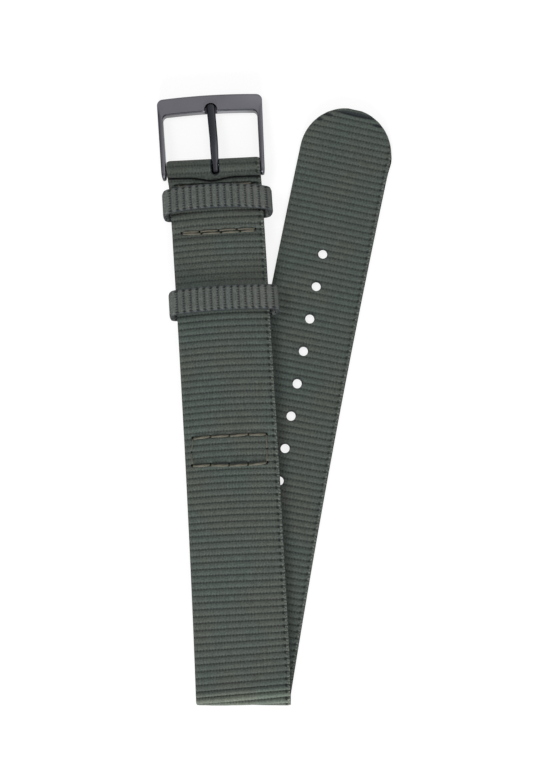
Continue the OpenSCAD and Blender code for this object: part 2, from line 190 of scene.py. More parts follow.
def layer_gap(v):
    """Distance between the two layers of the front leg at v, measured back from the bar."""
    def parted(row):
        return smooth((np.abs(v - row) - PRESSED) / EASE)

    apart = np.minimum(np.minimum(parted(ROW_LOOP), parted(ROW_KEEPER)), parted(BOX_NEAR))
    apart = np.where(v > BOX_NEAR, 0, apart)
    loop_end = ROW_LOOP - PRESSED
    loop = (2 * LOOP_R - 2 * HALF_T - SEAM_GAP) * smooth(1 - v / loop_end)
    return SEAM_GAP + np.where(v < loop_end, loop, (KEEPER_GAP - SEAM_GAP) * apart)


def outer_mid(v):
    """Height of the middle of the front leg's outer layer."""
    level = np.where(v < ROW_KEEPER, BAR_MID + (SLIDE_MID - BAR_MID) * v / ROW_KEEPER, SLIDE_MID)
    fold_top, level_end = FOLD_Z + FOLD_R, 4
    box_mid = SLIDE_MID - DIP * (KEEPER_GAP - SEAM_GAP)
    far = fold_top + (box_mid - fold_top) * smooth(
        (FRONT - v - level_end) / (FRONT - BOX_FAR - level_end))
    return np.where(v > BOX_FAR, far, level - DIP * (KEEPER_GAP - layer_gap(v)))


def leg(foot, lean, length, bow, u, along):
    """Plan place on a leg that leans from the +Y axis and bows sideways by bow mm."""
    lean = math.radians(lean)
    t = np.clip(along / length, 0, 1)
    aside, slope = 4 * bow * t * (1 - t), 4 * bow * (1 - 2 * t) / length
    way = np.stack([math.sin(lean) + slope * math.cos(lean),
                    math.cos(lean) - slope * math.sin(lean)])
    way = way / np.hypot(*way)
    x = foot[0] + along * math.sin(lean) + aside * math.cos(lean)
    y = foot[1] + along * math.cos(lean) - aside * math.sin(lean)
    return np.stack([x + u * way[1], y - u * way[0]])


def spread(u, v):
    """The front leg lies a little wider on its right side towards the fold."""
    return u + np.maximum(u, 0) / 10 * np.interp(v, (25, 67, 80, 108, 114.7),
                                                 (0, 0.26, 0.38, 0.69, 0.5))


def on_front(u, v, height):
    """Places on the front leg: u across it, v back from the bar, all in millimetres. Near the
    bar it is a little wider and lies further left, and its ribs slant."""
    u, v, height = (np.asarray(a, float) for a in (u, v, height))
    u = spread(u, v)
    v = v + 0.018 * u * (1 - smooth(v / 12))
    at_loop = 1 - smooth(v / 5)
    place = leg(FRONT_FOOT, FRONT_LEAN, FRONT, FRONT_BOW,
                u * (1 + 0.012 * at_loop) - 0.18 * at_loop + FRONT_ASIDE, FRONT - v)
    return np.stack([place[0], place[1], np.broadcast_to(height, place[0].shape)], -1)


def strap_middle(u, s):
    """Middle of the webbing at u across and s along, from the tip to the cut end. The fold
    runs askew, so its two ends cross the legs at a slant, and the ribs near it lie skewed."""
    tail_slant, front_slant = 0.113, 0.0718
    tail_skew, front_skew = 0.0587, 0.05
    tail_foot, front_foot = BEND_AT - tail_slant * u, FRONT_AT - front_slant * u
    back = np.clip(BEND_AT - s, -tail_slant * np.abs(u) - 1, None)
    back = back + tail_skew * u * (1 - smooth(np.abs(back) / 15))
    tail = leg(TAIL_FOOT, TAIL_LEAN, TAIL, TAIL_BOW, u, back)
    tail = np.stack([tail[0], tail[1], np.full_like(u, HALF_T)], -1)

    # The front leg, up to the spring bar.
    ahead = s - FRONT_AT
    ahead = ahead + front_skew * u * (1 - smooth(np.abs(ahead) / 26))
    v = FRONT - ahead
    front = on_front(u, v, outer_mid(np.clip(v, 0, FRONT)))

    # The half turn of the fold, from the tail's slanted line to the front leg's.
    turn = np.pi * np.clip((s - tail_foot) / (front_foot - tail_foot), 0, 1)
    start = leg(TAIL_FOOT, TAIL_LEAN, TAIL, TAIL_BOW, u, (tail_slant + tail_skew) * u)
    end = leg(FRONT_FOOT, FRONT_LEAN, FRONT, FRONT_BOW, spread(u, FRONT) + FRONT_ASIDE,
              (front_skew - front_slant) * u)
    share = (1 - np.cos(turn)) / 2
    reach = (FOLD_R + 0.08 + 0.012 * u) * np.sin(turn)
    fold_line = math.radians(0.89)
    bend = np.stack([start[0] + share * (end[0] - start[0]) + reach * math.sin(fold_line),
                     start[1] + share * (end[1] - start[1]) - reach * math.cos(fold_line),
                     FOLD_Z - FOLD_R * np.cos(turn)], -1)

    # The loop round the spring bar, and the return layer.
    round_bar = (s - LOOP_AT) / LOOP_R
    loop = on_front(u, -LOOP_R * np.sin(round_bar), BAR_Z + LOOP_R * np.cos(round_bar))
    v = s - RETURN_AT
    under = outer_mid(np.maximum(v, 0)) - 2 * HALF_T - layer_gap(np.maximum(v, 0))
    under = on_front(u, np.maximum(v, 0), under)
    parts = [s < tail_foot, s < front_foot, s < LOOP_AT, s < RETURN_AT]
    return np.select([p[:, None] for p in parts], [tail, bend, front, loop], under)


def crease(u, s):
    """Depth of the sharp fold between the loop and the fixed keeper, which dips in the middle,
    and of the furrow that the loop's seam pulls in."""
    v = LOOP_AT - s
    dip = 0.75 * np.exp(-((u + 0.6) / 2.8) ** 2)
    fold = np.exp(-((v - 1.8 - 0.015 * u - dip) / 0.19) ** 2)
    ragged = 0.05 * np.sin(4.1 * u) + 0.04 * np.sin(9.3 * u + 1)
    furrow = np.exp(-((v - 3.22 - 0.018 * u - ragged) / 0.26) ** 2)
    return 0.95 * fold + (0.5 + ragged) * furrow * smooth((9.8 - np.abs(u)) / 1.2)


def lay(flat, middle, width, pitch, half_t, depth, dent=None, drift=None):
    """Takes flat webbing (across, along, side) to its place, with its ribs and thin edges.
    Returns the places and how deep each is dented."""
    u, s, side = flat.T
    at = s + drift(u, s) if drift else s
    step = 0.04
    depth = depth(at) if callable(depth) else depth
    across = middle(u + step, at) - middle(u - step, at)
    along = middle(u, at + step) - middle(u, at - step)
    out = np.cross(across, along)
    out /= np.linalg.norm(out, axis=1)[:, None]

    # A narrow groove in a wider dip between ribs, and edges thinner than the middle.
    groove = np.abs(s / pitch - np.round(s / pitch)) * pitch
    thick = half_t - depth * (0.6 * np.exp(-(groove / 0.2) ** 2)
                              + 0.4 * np.exp(-(groove / 0.45) ** 2))
    thin = 0.4 - 0.3 * np.exp(-((at - FRONT_AT) / 5) ** 2)
    thick = thick * (1 - thin * smooth((np.abs(u) - width / 2) / half_t + 1))
    pinch = np.where(side > 0, dent(u, at), 0) if dent else np.zeros(len(u))
    return (middle(u, at) + out * (side * (thick - pinch))[:, None]) * MM, pinch


def mesh_places(mesh):
    """Where a mesh's vertices lie, one row for each."""
    places = np.empty(len(mesh.vertices) * 3)
    mesh.vertices.foreach_get("co", places)
    return places.reshape(-1, 3)


def woven_flat(name, width, pitch, start, end, columns, rounded=None, fine=1):
    """A flat strip of webbing with rows of vertices in each groove and over each rib. The tip
    is rounded where its ribs come to lie."""
    steps = (0, 0.13, 0.3, 0.5, 0.7, 0.87, 1)
    rows = len(steps) - 1
    first, last = (round(end_at / pitch * rows) * fine for end_at in (start, end))
    bm = bmesh.new()
    bmesh.ops.create_grid(bm, x_segments=columns, y_segments=last - first, size=1)
    bmesh.ops.solidify(bm, geom=bm.faces[:], thickness=2)
    low = min(v.co.z for v in bm.verts)
    for vert in bm.verts:
        row = (first + round((vert.co.y + 1) / 2 * (last - first))) / fine
        s = (row // rows + np.interp(row % rows, range(rows + 1), steps)) * pitch
        u = width / 2 * (1.5 * vert.co.x - 0.5 * vert.co.x ** 3)
        if rounded:
            s = max(s, 0.12)
            u *= math.sqrt(1 - max(0, 1 - (s + rounded(0, s)) / (width / 2)) ** 2)
            u += 0.02 * max(u, 0) * math.exp(-((s - 10.3) / 1.8) ** 2)
        vert.co = (u, s, vert.co.z - low - 1)
    return new_piece(name, bm)


def cut_away(obj, bm):
    """Cuts the closed forms of a bmesh out of an object."""
    cutter = new_piece("cutter", bm)
    cut = obj.modifiers.new("cut", "BOOLEAN")
    cut.object = cutter
    cut.solver = "EXACT"
    graph = bpy.context.evaluated_depsgraph_get()
    obj.data = bpy.data.meshes.new_from_object(obj.evaluated_get(graph))
    obj.modifiers.clear()
    bpy.data.objects.remove(cutter)


def punched(obj, holes, slot=()):
    """Cuts round holes (u, s, radius) in flat webbing, and a slot that is given as rows of
    (s, aside, width) and has round corners at its first row."""
    tall = 6
    bm = bmesh.new()
    for u, s, radius in holes:
        bmesh.ops.create_cone(bm, cap_ends=True, segments=28 if radius > 0.5 else 10,
                              radius1=radius, radius2=radius, depth=tall,
                              matrix=Matrix.Translation((u, s, 0)))
    if slot:
        made = bmesh.ops.create_grid(bm, x_segments=1, y_segments=3, size=1)
        bmesh.ops.solidify(bm, geom=list({f for v in made["verts"] for f in v.link_faces}),
                           thickness=tall)
        base = min(v.co.z for v in bm.verts)
        for vert in bm.verts:
            at, aside, across = slot[round((vert.co.y + 1) * 1.5)]
            vert.co = (aside + vert.co.x * across / 2, at, vert.co.z - base - tall / 2)
        corners = [e for e in bm.edges if abs(e.verts[0].co.z - e.verts[1].co.z) > 1
                   and e.verts[0].co.y < slot[0][0] + 0.01]
        bmesh.ops.bevel(bm, geom=corners, offset=SLOT_CORNER, segments=5, affect="EDGES",
                        profile=0.5, material=-1)
    cut_away(obj, bm)


def finished(obj, material, smooth_angle=50):
    """Gives an object its material, smooth but for edges sharper than smooth_angle."""
    obj.data.materials.clear()
    obj.data.materials.append(material)
    obj.data.shade_smooth()
    obj.data.set_sharp_from_angle(angle=math.radians(smooth_angle))


def rib_drift(u, s):
    """How far each rib lies from its even place: the weave's pitch drifts along the strap, and
    the front leg's ribs bow towards the buckle."""
    share = smooth((s - FRONT_AT - 12) / 45) * smooth((LOOP_AT - s) / 14)
    return 0.33 * share * (1 - (u / (STRAP_W / 2)) ** 2) + np.interp(
        s, (0, 3, 6, 22, 42, 60, 80, 100, 111, 120, 134, 138.4, 154.4, 170.4, 212, 224, 229,
            236.6, 244, RETURN_AT, RETURN_AT + 20),
        (0, -0.45, -0.53, -0.65, -0.9, -0.88, -0.66, -0.36, -0.15, 0, -0.6, -0.57, 0.11, 0.5,
         0.44, 0.64, 0.55, 0.17, 0.5, 0.6, 0))


def rib_depth(s):
    """The ribs stand out most where the strap is folded and least where the bar stretches it."""
    taut = smooth((s - LOOP_AT + 3) / 2) * smooth((RETURN_AT - s + 1) / 2)
    tail = 1 - smooth((s - 110) / 15)
    return RIB_DEPTH * (1 + 0.25 * tail + 2.3 * np.exp(-((s - FRONT_AT + 0.3) / 2.2) ** 2)
                        - 0.2 * taut)


def flat_s(u, s):
    """Place along the flat strip, before its ribs drift."""
    return s - rib_drift(u, s)


# Where it is punched and sewn: buckle holes (across, from the tip, radius), the thread's holes
# (across, back from the bar), and rows across the tang's slot (from the tip, aside, width).
BUCKLE_HOLES = [(-0.35, 32.42 + 7.21 * i, 1.0) for i in range(10)]
KEEPER_ROW = [(-7.9, 13.4), (-4.1, 13.4), (0.05, 13.4), (4.0, 13.4), (8.0, 13.55)]
KEEPER_ROW_LOW = [(-7.9, 13.75), (-3.65, 13.9), (0.55, 13.95), (4.65, 13.95), (8.0, 13.95)]
LOOP_ROW = [(u, ROW_LOOP) for u in (-8.05, -4.15, -0.1, 4.0, 7.75)]
BOX_TOP = [(-8.1, 57.85), (-4.25, 57.6), (-0.2, 57.65), (3.87, 57.55), (7.6, 57.8)]
BOX_LOW = [(-8.5, 63.75), (-4.6, 63.8), (-0.6, 64.05), (3.42, 64.1), (7.43, 63.9)]
BOX_SIDES = [(-8.5, 60.9), (7.63, 61.0)]
SLOT = [(LOOP_AT - 1.2, 0.33, 1.6), (LOOP_AT + 1.2, 0.33, 1.72), (LOOP_AT + 2.4, 0.36, 1.44),
        (RETURN_AT + 1.45, 0.29, 1.44)]
SLOT_HALF_W, SLOT_CORNER = 0.8, 0.6

# The thread's holes have one radius for each row.
needle_holes = [(u, v, 0.36) for u, v in BOX_TOP + BOX_LOW] + [(u, v, 0.2) for u, v in BOX_SIDES]
needle_holes += [(u, v, 0.29) for u, v in KEEPER_ROW + KEEPER_ROW_LOW[1:-1]]
strap_long = woven_flat("strap_long", STRAP_W, RIB, 0, SPLIT_AT, 26, rounded=rib_drift)
punched(strap_long, [(u, flat_s(u, s), radius) for u, s, radius in BUCKLE_HOLES + [
    (u, LOOP_AT - v, radius) for u, v, radius in needle_holes]])
strap_loop = woven_flat("strap_loop", STRAP_W, RIB, SPLIT_AT, STRAP_END, 34, fine=2)
punched(strap_loop, [], [(flat_s(0, at), aside, across) for at, aside, across in SLOT])


def flat_map(obj, width, length):
    """A UV map with the width across and the length along, from the flat strip."""
    flat = mesh_places(obj.data)
    corners = np.empty(len(obj.data.loops), int)
    obj.data.loops.foreach_get("vertex_index", corners)
    chart = obj.data.uv_layers.new(name="woven")
    uv = np.stack([flat[:, 0] / width + 0.5, flat[:, 1] / length], 1)[corners]
    chart.uv.foreach_set("vector", uv.astype(np.float32).ravel())


def shaped(piece, middle, width, length, pitch, half_t, depth, **forms):
    """Maps a flat strip, then lays it along its middle surface."""
    flat_map(piece, width, length)
    laid, pinch = lay(mesh_places(piece.data), middle, width, pitch, half_t, depth, **forms)
    piece.data.vertices.foreach_set("co", laid.ravel())
    pinched = piece.data.attributes.new("pinch", "FLOAT", "POINT")
    pinched.data.foreach_set("value", pinch.astype(np.float32))
    piece.data.update()


for piece in (strap_long, strap_loop):
    shaped(piece, strap_middle, STRAP_W, STRAP_END, RIB, HALF_T, rib_depth, dent=crease,
           drift=rib_drift)

# The weave of strap and keepers, drawn in millimetres on the flat strip: nylon yarns along it,
# packed into ribs with grooves between them that are painted dark as shade, and a selvedge
# whose pale binding yarn shows as beads.


def node_group(name, inputs, outputs):
    """A shader node group. Returns it and the sockets of its inputs."""
    made = bpy.data.node_groups.new(name, "ShaderNodeTree")
    for way, sockets in (("INPUT", inputs), ("OUTPUT", outputs)):
        for title, kind in sockets.items():
            made.interface.new_socket(name=title, in_out=way, socket_type="NodeSocket" + kind)
    return made, made.nodes.new("NodeGroupInput").outputs


def close_group(group, **results):
    """Leads each result to the group's output of that name."""
    end = group.nodes.new("NodeGroupOutput")
    for title, value in results.items():
        group.links.new(value, end.inputs[title])


def ramp(tree, value, low, high):
    """0 below low, 1 above high and a slope between them; the other way round if low > high."""
    return wired(tree, "ShaderNodeMapRange", {"interpolation_type": "SMOOTHSTEP"}, Value=value,
                 From_Min=low, From_Max=high).outputs[0]


def tint(tree, share, first, second, mode="MIX"):
    """The output of a colour Mix node."""
    made = tree.nodes.new("ShaderNodeMix")
    made.data_type = "RGBA"
    made.blend_type = mode
    for number, value in ((0, share), (6, first), (7, second)):
        plug(tree, made.inputs[number], value)
    return made.outputs[2]


def grey(tree, value):
    """A value as a grey colour."""
    return wired(tree, "ShaderNodeCombineColor", Red=value, Green=value, Blue=value).outputs[0]


weave, given = node_group("ribbed_weave", {
    "Place": "Vector", "Rib Pitch": "Float", "Yarn": "Float", "Scallop": "Float",
    "Spread": "Float", "Sunk": "Float", "Taut": "Float", "Selvedge": "Float",
    "Edge Width": "Float", "Cool": "Color", "Warm": "Color", "Groove": "Color", "Edge": "Color"},
    {"Color": "Color", "Height": "Float"})
spot = wired(weave, "ShaderNodeSeparateXYZ", Vector=given["Place"]).outputs
waver = wired(weave, "ShaderNodeTexNoise", Vector=given["Place"], Scale=1.3,
              Detail=2.0).outputs[0]
grain = wired(weave, "ShaderNodeTexNoise", Vector=given["Place"], Scale=3.2,
              Detail=3.0).outputs[0]
cloud = wired(weave, "ShaderNodeTexNoise", Vector=given["Place"], Scale=0.09,
              Detail=2.0).outputs[0]

# Yarns across the width and ribs along it, and how far each place lies from its groove.
yarns = calc(weave, "DIVIDE", spot["X"], given["Yarn"])
fine = calc(weave, "ABSOLUTE", calc(weave, "SINE", calc(weave, "MULTIPLY", yarns, math.pi)))
pair = calc(weave, "ABSOLUTE", calc(weave, "SINE", calc(weave, "MULTIPLY", yarns, math.pi / 2)))
ribs = calc(weave, "DIVIDE", spot["Y"], given["Rib Pitch"])
wavy = calc(weave, "ADD", ribs, calc(weave, "MULTIPLY", calc(weave, "SUBTRACT", waver, 0.5), 0.2))
wavy = calc(weave, "ADD", wavy, calc(weave, "MULTIPLY", pair, given["Scallop"]))
from_groove = calc(weave, "ABSOLUTE", calc(
    weave, "SUBTRACT", calc(weave, "FRACT", calc(weave, "ADD", wavy, 0.5)), 0.5))
which = wired(weave, "ShaderNodeCombineXYZ", X=calc(weave, "FLOOR", yarns),
              Y=calc(weave, "FLOOR", wavy)).outputs[0]
chance = wired(weave, "ShaderNodeTexWhiteNoise", Vector=which).outputs["Value"]

# The grooves are wider and darker between pairs of yarns, and shallower where it is taut; their
# dark colour is painted shade.
gap = calc(weave, "SUBTRACT", 1.0, pair)
reach = calc(weave, "MULTIPLY", given["Spread"], calc(
    weave, "MULTIPLY_ADD", calc(weave, "ADD", gap, calc(weave, "MULTIPLY", chance, 0.5)),
    0.10, 0.17))
depth = calc(weave, "MULTIPLY", ramp(weave, from_groove, reach, 0.0), calc(
    weave, "MULTIPLY_ADD", gap, 0.42, 0.33))
depth = calc(weave, "MULTIPLY", depth, calc(weave, "MULTIPLY_ADD", given["Taut"], -0.1, 1.0))
depth = calc(weave, "MULTIPLY", depth, given["Sunk"], clamp=True)

# The dyed yarns: clouds of two tones, a grain, and chance from each yarn and rib to the next;
# each rib is also painted lighter just past its groove and darker towards the next.
slope = calc(weave, "FRACT", wavy)
crest = tint(weave, ramp(weave, cloud, 0.35, 0.65), given["Cool"], given["Warm"])
shade = calc(weave, "MULTIPLY_ADD", grain, 1.5, 0.2)
shade = calc(weave, "MULTIPLY", shade, calc(weave, "MULTIPLY_ADD", fine, 0.14, 0.91))
# Painted light: each rib lighter just past its groove and darker towards the next.
shade = calc(weave, "MULTIPLY", shade, calc(weave, "MULTIPLY_ADD", slope, -0.14, 1.07))
shade = calc(weave, "MULTIPLY", shade, calc(weave, "MULTIPLY_ADD", chance, 0.2, 0.9))
crest = tint(weave, 1.0, crest, grey(weave, shade), "MULTIPLY")
# The grooves are painted in the dark colour as shade.
cloth = tint(weave, depth, crest, given["Groove"])

# The selvedge: dark slanting dashes beside the ribs, pale beads outside them and a dark rim
# that is painted shade on the edge's side.
edge = calc(weave, "DIVIDE", calc(weave, "SUBTRACT", spot["X"], given["Selvedge"]),
            given["Edge Width"])
slant = calc(weave, "MULTIPLY", calc(weave, "MULTIPLY_ADD", edge, 0.35, ribs), 2 * math.pi)
dash = ramp(weave, calc(weave, "COSINE", slant), -0.3, 0.6)
dash = calc(weave, "MULTIPLY", dash, calc(
    weave, "MULTIPLY", ramp(weave, edge, -0.1, 0.2), ramp(weave, edge, 0.62, 0.42)))
beads = [ramp(weave, calc(weave, "COSINE", calc(weave, "MULTIPLY", calc(
    weave, "MULTIPLY_ADD", edge, lay_way, calc(weave, "MULTIPLY", wavy, 2.0)), 2 * math.pi)),
    -0.1, 0.9) for lay_way in (0.9, -0.7)]
bead = calc(weave, "MULTIPLY", calc(weave, "MAXIMUM", *beads), ramp(weave, grain, 0.42, 0.58))
bead = calc(weave, "MULTIPLY", bead, calc(
    weave, "MULTIPLY", ramp(weave, edge, 0.36, 0.55), ramp(weave, edge, 1.1, 0.95)))
cloth = tint(weave, calc(weave, "MULTIPLY", dash, 0.85), cloth, given["Groove"])
cloth = tint(weave, bead, cloth, given["Edge"])
# Painted shade along the outermost edge, where the webbing's side falls into shadow.
cloth = tint(weave, calc(weave, "MULTIPLY", ramp(weave, edge, 0.86, 0.97), 0.85), cloth,
             given["Groove"])
height = calc(weave, "SUBTRACT", calc(weave, "MULTIPLY", calc(weave, "ADD", fine, grain), 0.3),
              depth)
height = calc(weave, "ADD", height, calc(weave, "SUBTRACT", bead, dash))
close_group(weave, Color=cloth, Height=height)

# Marks on the strap: where it was cut hot, its yarns are melted dark, round each buckle hole,
# along the tang's slot and in patches at the tip; by the slot the dark also stands in for the
# shadow in the gap beside the tang. Under its sewn rows it gets painted shade, over the spring
# bar it is taut, and along the fold it gets a painted highlight.
marks, given = node_group("strap_marks", {
    "Place": "Vector", "Hole Start": "Float", "Hole Pitch": "Float", "Hole Aside": "Float",
    "Slot Middle": "Float", "Slot Half Length": "Float", "Slot Half Width": "Float",
    "Loop": "Float", "Fold": "Float"},
    {"Melted": "Float", "Sewn": "Float", "Taut": "Float", "Pale": "Float"})
spot = wired(marks, "ShaderNodeSeparateXYZ", Vector=given["Place"]).outputs


def distance(across, along):
    """How long the step (across, along) is."""
    flat = wired(marks, "ShaderNodeCombineXYZ", X=across, Y=along).outputs[0]
    return wired(marks, "ShaderNodeVectorMath", {"operation": "LENGTH"}, Vector=flat).outputs[1]


def patch(u, s, half_u, half_s):
    """A soft-edged oval mark at (u, s)."""
    across = calc(marks, "DIVIDE", calc(marks, "SUBTRACT", spot["X"], u), half_u)
    along = calc(marks, "DIVIDE", calc(marks, "SUBTRACT", spot["Y"], s), half_s)
    return ramp(marks, distance(across, along), 1.05, 0.65)


def outside(value, middle, half):
    """How far value lies outside middle plus or minus half."""
    away = calc(marks, "ABSOLUTE", calc(marks, "SUBTRACT", value, middle))
    return calc(marks, "MAXIMUM", 0.0, calc(marks, "SUBTRACT", away, half))


# Melted edges: round the nearest buckle hole, along the slot, where the dark also stands in
# for the shadow in the gap beside the tang, and ovals (across, from the tip, half width, half
# length) at the tip.
turns = calc(marks, "DIVIDE", calc(marks, "SUBTRACT", spot["Y"], given["Hole Start"]),
             given["Hole Pitch"])
nearest = calc(marks, "MAXIMUM", calc(marks, "ROUND", turns), 0.0)
nearest = calc(marks, "MINIMUM", nearest, float(len(BUCKLE_HOLES) - 1))
off = calc(marks, "MULTIPLY", calc(marks, "SUBTRACT", turns, nearest), given["Hole Pitch"])
hole = ramp(marks, distance(calc(marks, "SUBTRACT", spot["X"], given["Hole Aside"]), off),
            1.35, 1.05)
slot = ramp(marks, calc(marks, "SUBTRACT", distance(
    outside(spot["X"], SLOT[0][1], 0.0),
    outside(spot["Y"], given["Slot Middle"], given["Slot Half Length"])),
    given["Slot Half Width"]), 0.24, 0.1)
melted = calc(marks, "MAXIMUM", calc(marks, "MULTIPLY", hole, 0.6), slot)
TIP_PATCHES = ((0.6, 1.35, 5.0, 0.7), (-5.8, 2.7, 1.6, 0.5), (-7.3, 4.1, 0.9, 0.5),
               (5.7, 2.95, 1.4, 0.45))
for oval in TIP_PATCHES:
    melted = calc(marks, "MAXIMUM", melted, calc(marks, "MULTIPLY", patch(*oval), 0.8))

# A band of painted shade under each sewn row, along the line that fits the row's holes on the
# flat strip.
sewn_in = 0.0
for row, reach, lower in ((BOX_TOP, 0.33, 0), (BOX_LOW, 0.33, 0), (KEEPER_ROW, 0.5, 0.22)):
    flat_u = np.array([u for u, v in row])
    slope, start = np.polyfit(flat_u, [flat_s(u, LOOP_AT - v) for u, v in row], 1)
    off_row = calc(marks, "SUBTRACT", spot["Y"], calc(
        marks, "MULTIPLY_ADD", spot["X"], float(slope), float(start) - lower))
    beside = calc(marks, "MULTIPLY", ramp(marks, calc(marks, "ABSOLUTE", off_row), reach + 0.12,
                                          reach - 0.05),
                  ramp(marks, outside(spot["X"], float(flat_u.mean()),
                                      float(np.ptp(flat_u)) / 2), 0.3, 0.1))
    sewn_in = calc(marks, "MAXIMUM", sewn_in, beside)
# Outputs: melted edges (by the slot also painted shadow), painted shade under the sewn rows, the
# taut part over the bar, and a painted highlight along the fold.
close_group(marks, Melted=melted, Sewn=sewn_in,
            Taut=ramp(marks, outside(spot["Y"], given["Loop"], 1.5), 1.5, 0.0),
            Pale=ramp(marks, outside(spot["Y"], given["Fold"], 0.9), 1.9, 0.0))

# The painted highlight along the fold multiplies the yarn's colour; the others are dark tones
# laid over it: painted shade under the sewn rows and in the crease, and melted edges that by
# the slot also stand in for shadow.
FOLD_GAIN = (1.87, 1.81, 1.68, 1)
SEWN_TONE, CREASE_TONE = (0.010, 0.011, 0.010, 1), (0.004, 0.005, 0.005, 1)
MELTED_TONE = (0.010, 0.012, 0.017, 1)


def webbing_finish(name, width, length, both_edges=False, marked=None, **values):
    """Ribbed nylon webbing: the weave in millimetres on the flat strip's own map."""
    made, tree = new_material(name)
    chart = wired(tree, "ShaderNodeUVMap", {"uv_map": "woven"}).outputs[0]
    place = wired(tree, "ShaderNodeMapping", Vector=chart, Location=(-width / 2, 0, 0),
                  Scale=(width, length, 1)).outputs[0]
    if both_edges:
        place = wired(tree, "ShaderNodeVectorMath", {"operation": "ABSOLUTE"},
                      Vector=place).outputs[0]
    if marked:
        worn = wired(tree, "ShaderNodeGroup", {"node_tree": marks}, Place=place, **marked).outputs
        values["Taut"] = worn["Taut"]
    woven = wired(tree, "ShaderNodeGroup", {"node_tree": weave}, Place=place, **values)
    colour = woven.outputs["Color"]
    if marked:
        # A painted highlight along the fold, standing in for the light that falls there.
        colour = tint(tree, worn["Pale"], colour, FOLD_GAIN, "MULTIPLY")
        # Painted shade under the sewn rows, where the thread pulls the strap in.
        colour = tint(tree, calc(tree, "MULTIPLY", worn["Sewn"], 0.6), colour, SEWN_TONE)
        # Painted shade in the crease, darkest where the strap is dented deepest.
        fold = wired(tree, "ShaderNodeAttribute", {"attribute_name": "pinch"}).outputs["Fac"]
        colour = tint(tree, calc(tree, "MULTIPLY", ramp(tree, fold, 0.12, 0.5), 0.9), colour,
                      CREASE_TONE)
        # Melted dark at the hot-cut edges; by the slot it also stands in for the shadow in the
        # gap.
        colour = tint(tree, worn["Melted"], colour, MELTED_TONE)
    bump = wired(tree, "ShaderNodeBump", Strength=0.7, Distance=0.12 * MM,
                 Height=woven.outputs["Height"])
    cloth = wired(tree, "ShaderNodeBsdfPrincipled", Base_Color=colour, Roughness=0.85,
                  Normal=bump.outputs[0])
    cloth.inputs["Specular IOR Level"].default_value = 0.25
    cloth.inputs["Sheen Weight"].default_value = 0.05
    wired(tree, "ShaderNodeOutputMaterial", Surface=cloth.outputs[0])
    return made


hole_places = [flat_s(u, at) for u, at, radius in BUCKLE_HOLES]
slot_ends = [flat_s(0, at) for at in (SLOT[0][0] + SLOT_HALF_W, SLOT[-1][0] - SLOT_HALF_W)]
strap_webbing = webbing_finish(
    "strap_webbing", STRAP_W, STRAP_END, Rib_Pitch=RIB, Yarn=0.33, Scallop=0.03, Spread=1.05,
    Sunk=1.0, Selvedge=8.8, Edge_Width=1.2, Cool=(0.075, 0.095, 0.084, 1),
    Warm=(0.083, 0.093, 0.081, 1), Groove=(0.014, 0.018, 0.016, 1), Edge=(0.18, 0.20, 0.175, 1),
    marked=dict(Hole_Start=hole_places[0],
                Hole_Pitch=(hole_places[-1] - hole_places[0]) / (len(hole_places) - 1),
                Hole_Aside=BUCKLE_HOLES[0][0], Slot_Middle=sum(slot_ends) / 2,
                Slot_Half_Length=(slot_ends[1] - slot_ends[0]) / 2,
                Slot_Half_Width=SLOT_HALF_W, Loop=LOOP_AT + 0.6, Fold=FRONT_AT - 0.2))
for piece in (strap_long, strap_loop):
    finished(piece, strap_webbing)
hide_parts("band_tail", "band_bend", "band_front")
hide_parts("band_front")
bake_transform(strap_long)
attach(strap_loop, "front")

# The two keepers: strips of narrower webbing bent into rings, whose lower run passes between
# the front leg's two layers. Their tops lean towards the buckle and arch in the middle.
KEEPER_W, KEEPER_HALF_T, KEEPER_MID, KEEPER_RISE, KEEPER_BEND = 5.4, 0.4, 11.2, 1.8, 1.2
KEEPER_RIBS, KEEPER_RIB_DEPTH = 34, 0.2
ring_line = [(0.0, -KEEPER_RISE)]
for side_u, side_z, start in ((1, -1, -90), (1, 1, 0), (-1, 1, 90), (-1, -1, 180)):
    ring_line += [(side_u * (KEEPER_MID - KEEPER_BEND) + KEEPER_BEND * math.cos(math.radians(a)),
                   side_z * (KEEPER_RISE - KEEPER_BEND) + KEEPER_BEND * math.sin(math.radians(a)))
                  for a in range(start, start + 91, 5)]
ring_line = np.array(ring_line + [ring_line[0]])
ring_run = np.append(0, np.cumsum(np.hypot(*np.diff(ring_line, axis=0).T)))
KEEPER_ROUND = ring_run[-1]
KEEPER_RIB = KEEPER_ROUND / KEEPER_RIBS


def ring_middle(at, skew, shift, level, slope, lean, arch, tilt, sag):
    """The middle surface of a keeper at w across, towards the buckle, and s round it."""
    def middle(w, s):
        u = np.interp(s, ring_run, ring_line[:, 0], period=KEEPER_ROUND)
        z = np.interp(s, ring_run, ring_line[:, 1], period=KEEPER_ROUND)
        up = (z + KEEPER_RISE) / (2 * KEEPER_RISE)
        turn = math.radians(slope) + math.radians(tilt - slope) * up
        crown = 1 - (u / KEEPER_MID) ** 2
        v = at + skew * u - (lean + arch * crown) * up - w * np.cos(turn)
        height = level + z - sag * crown * up - w * np.sin(turn)
        bulge = 0.25 * np.sin(np.pi * up) * u / KEEPER_MID
        return on_front(u + bulge + shift * np.abs(up), v, height)
    return middle


